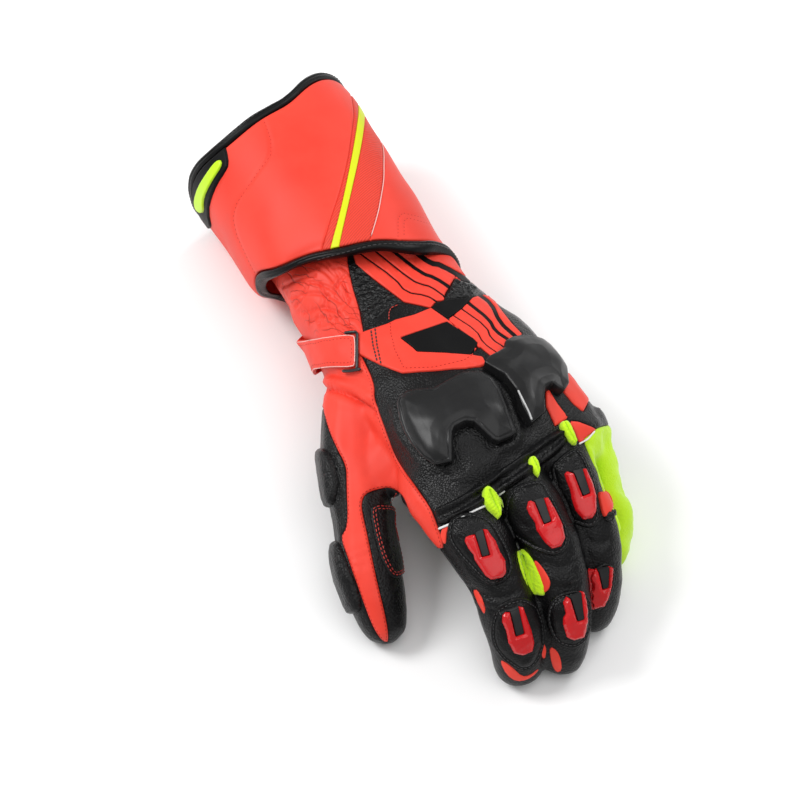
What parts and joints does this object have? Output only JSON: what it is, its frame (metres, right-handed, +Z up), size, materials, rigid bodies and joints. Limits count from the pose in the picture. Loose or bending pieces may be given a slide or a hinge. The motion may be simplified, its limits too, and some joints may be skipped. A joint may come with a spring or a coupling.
{
  "type": "motorcycle gauntlet",
  "caption": "Left-hand leather motorcycle gauntlet with a long flared cuff, hard knuckle guards and finger sliders, lying palm down with its fingers curled.",
  "frame": {"origin": "middle of the glove's footprint, on the floor that it lies on", "axes": "+Y from the fingertips to the cuff's rim, +X towards the little-finger side, +Z up out of the back of the hand"},
  "size_m": [0.1542, 0.3364, 0.0883],
  "materials": {
    "black_leather": "pebbled satin",
    "red_leather": "smooth satin",
    "neon_leather": "matt suede",
    "neon_badge": "satin",
    "hard_black": "satin",
    "hard_red": "glossy",
    "strap_hardware": "satin"
  },
  "bodies": {
    "root": {"hand_shell": "black_leather", "little_finger_stall": "neon_leather", "cuff_sleeve": "red_leather", "cuff_hem_binding": "black_leather", "cuff_rim_binding": "black_leather", "cuff_tab": "black_leather", "cuff_badge": "neon_badge", "wrist_strap": "red_leather", "strap_ring": "strap_hardware", "strap_anchor_panel": "red_leather", "knuckle_guard": "hard_black", "knuckle_guard_side": "hard_black", "gusset_index_middle": "neon_leather", "gusset_middle_ring": "neon_leather", "gusset_ring_little": "neon_leather", "knuckle_flex_panel": "black_leather", "pad_index_near": "black_leather", "pad_middle_near": "black_leather", "pad_ring_near": "black_leather", "pad_index_far": "black_leather", "pad_middle_far": "black_leather", "pad_ring_far": "black_leather", "slider_index_near": "hard_red", "slider_middle_near": "hard_red", "slider_ring_near": "hard_red", "slider_index_far": "hard_red", "slider_middle_far": "hard_red", "slider_ring_far": "hard_red", "insert_index_near": "hard_black", "insert_middle_near": "hard_black", "insert_ring_near": "hard_black", "insert_index_far": "hard_black", "insert_middle_far": "hard_black", "insert_ring_far": "hard_black", "thumb_pad_upper": "black_leather", "thumb_pad_lower": "black_leather", "thumb_patch": "black_leather", "finger_bridge": "red_leather"}
  },
  "joints": []
}
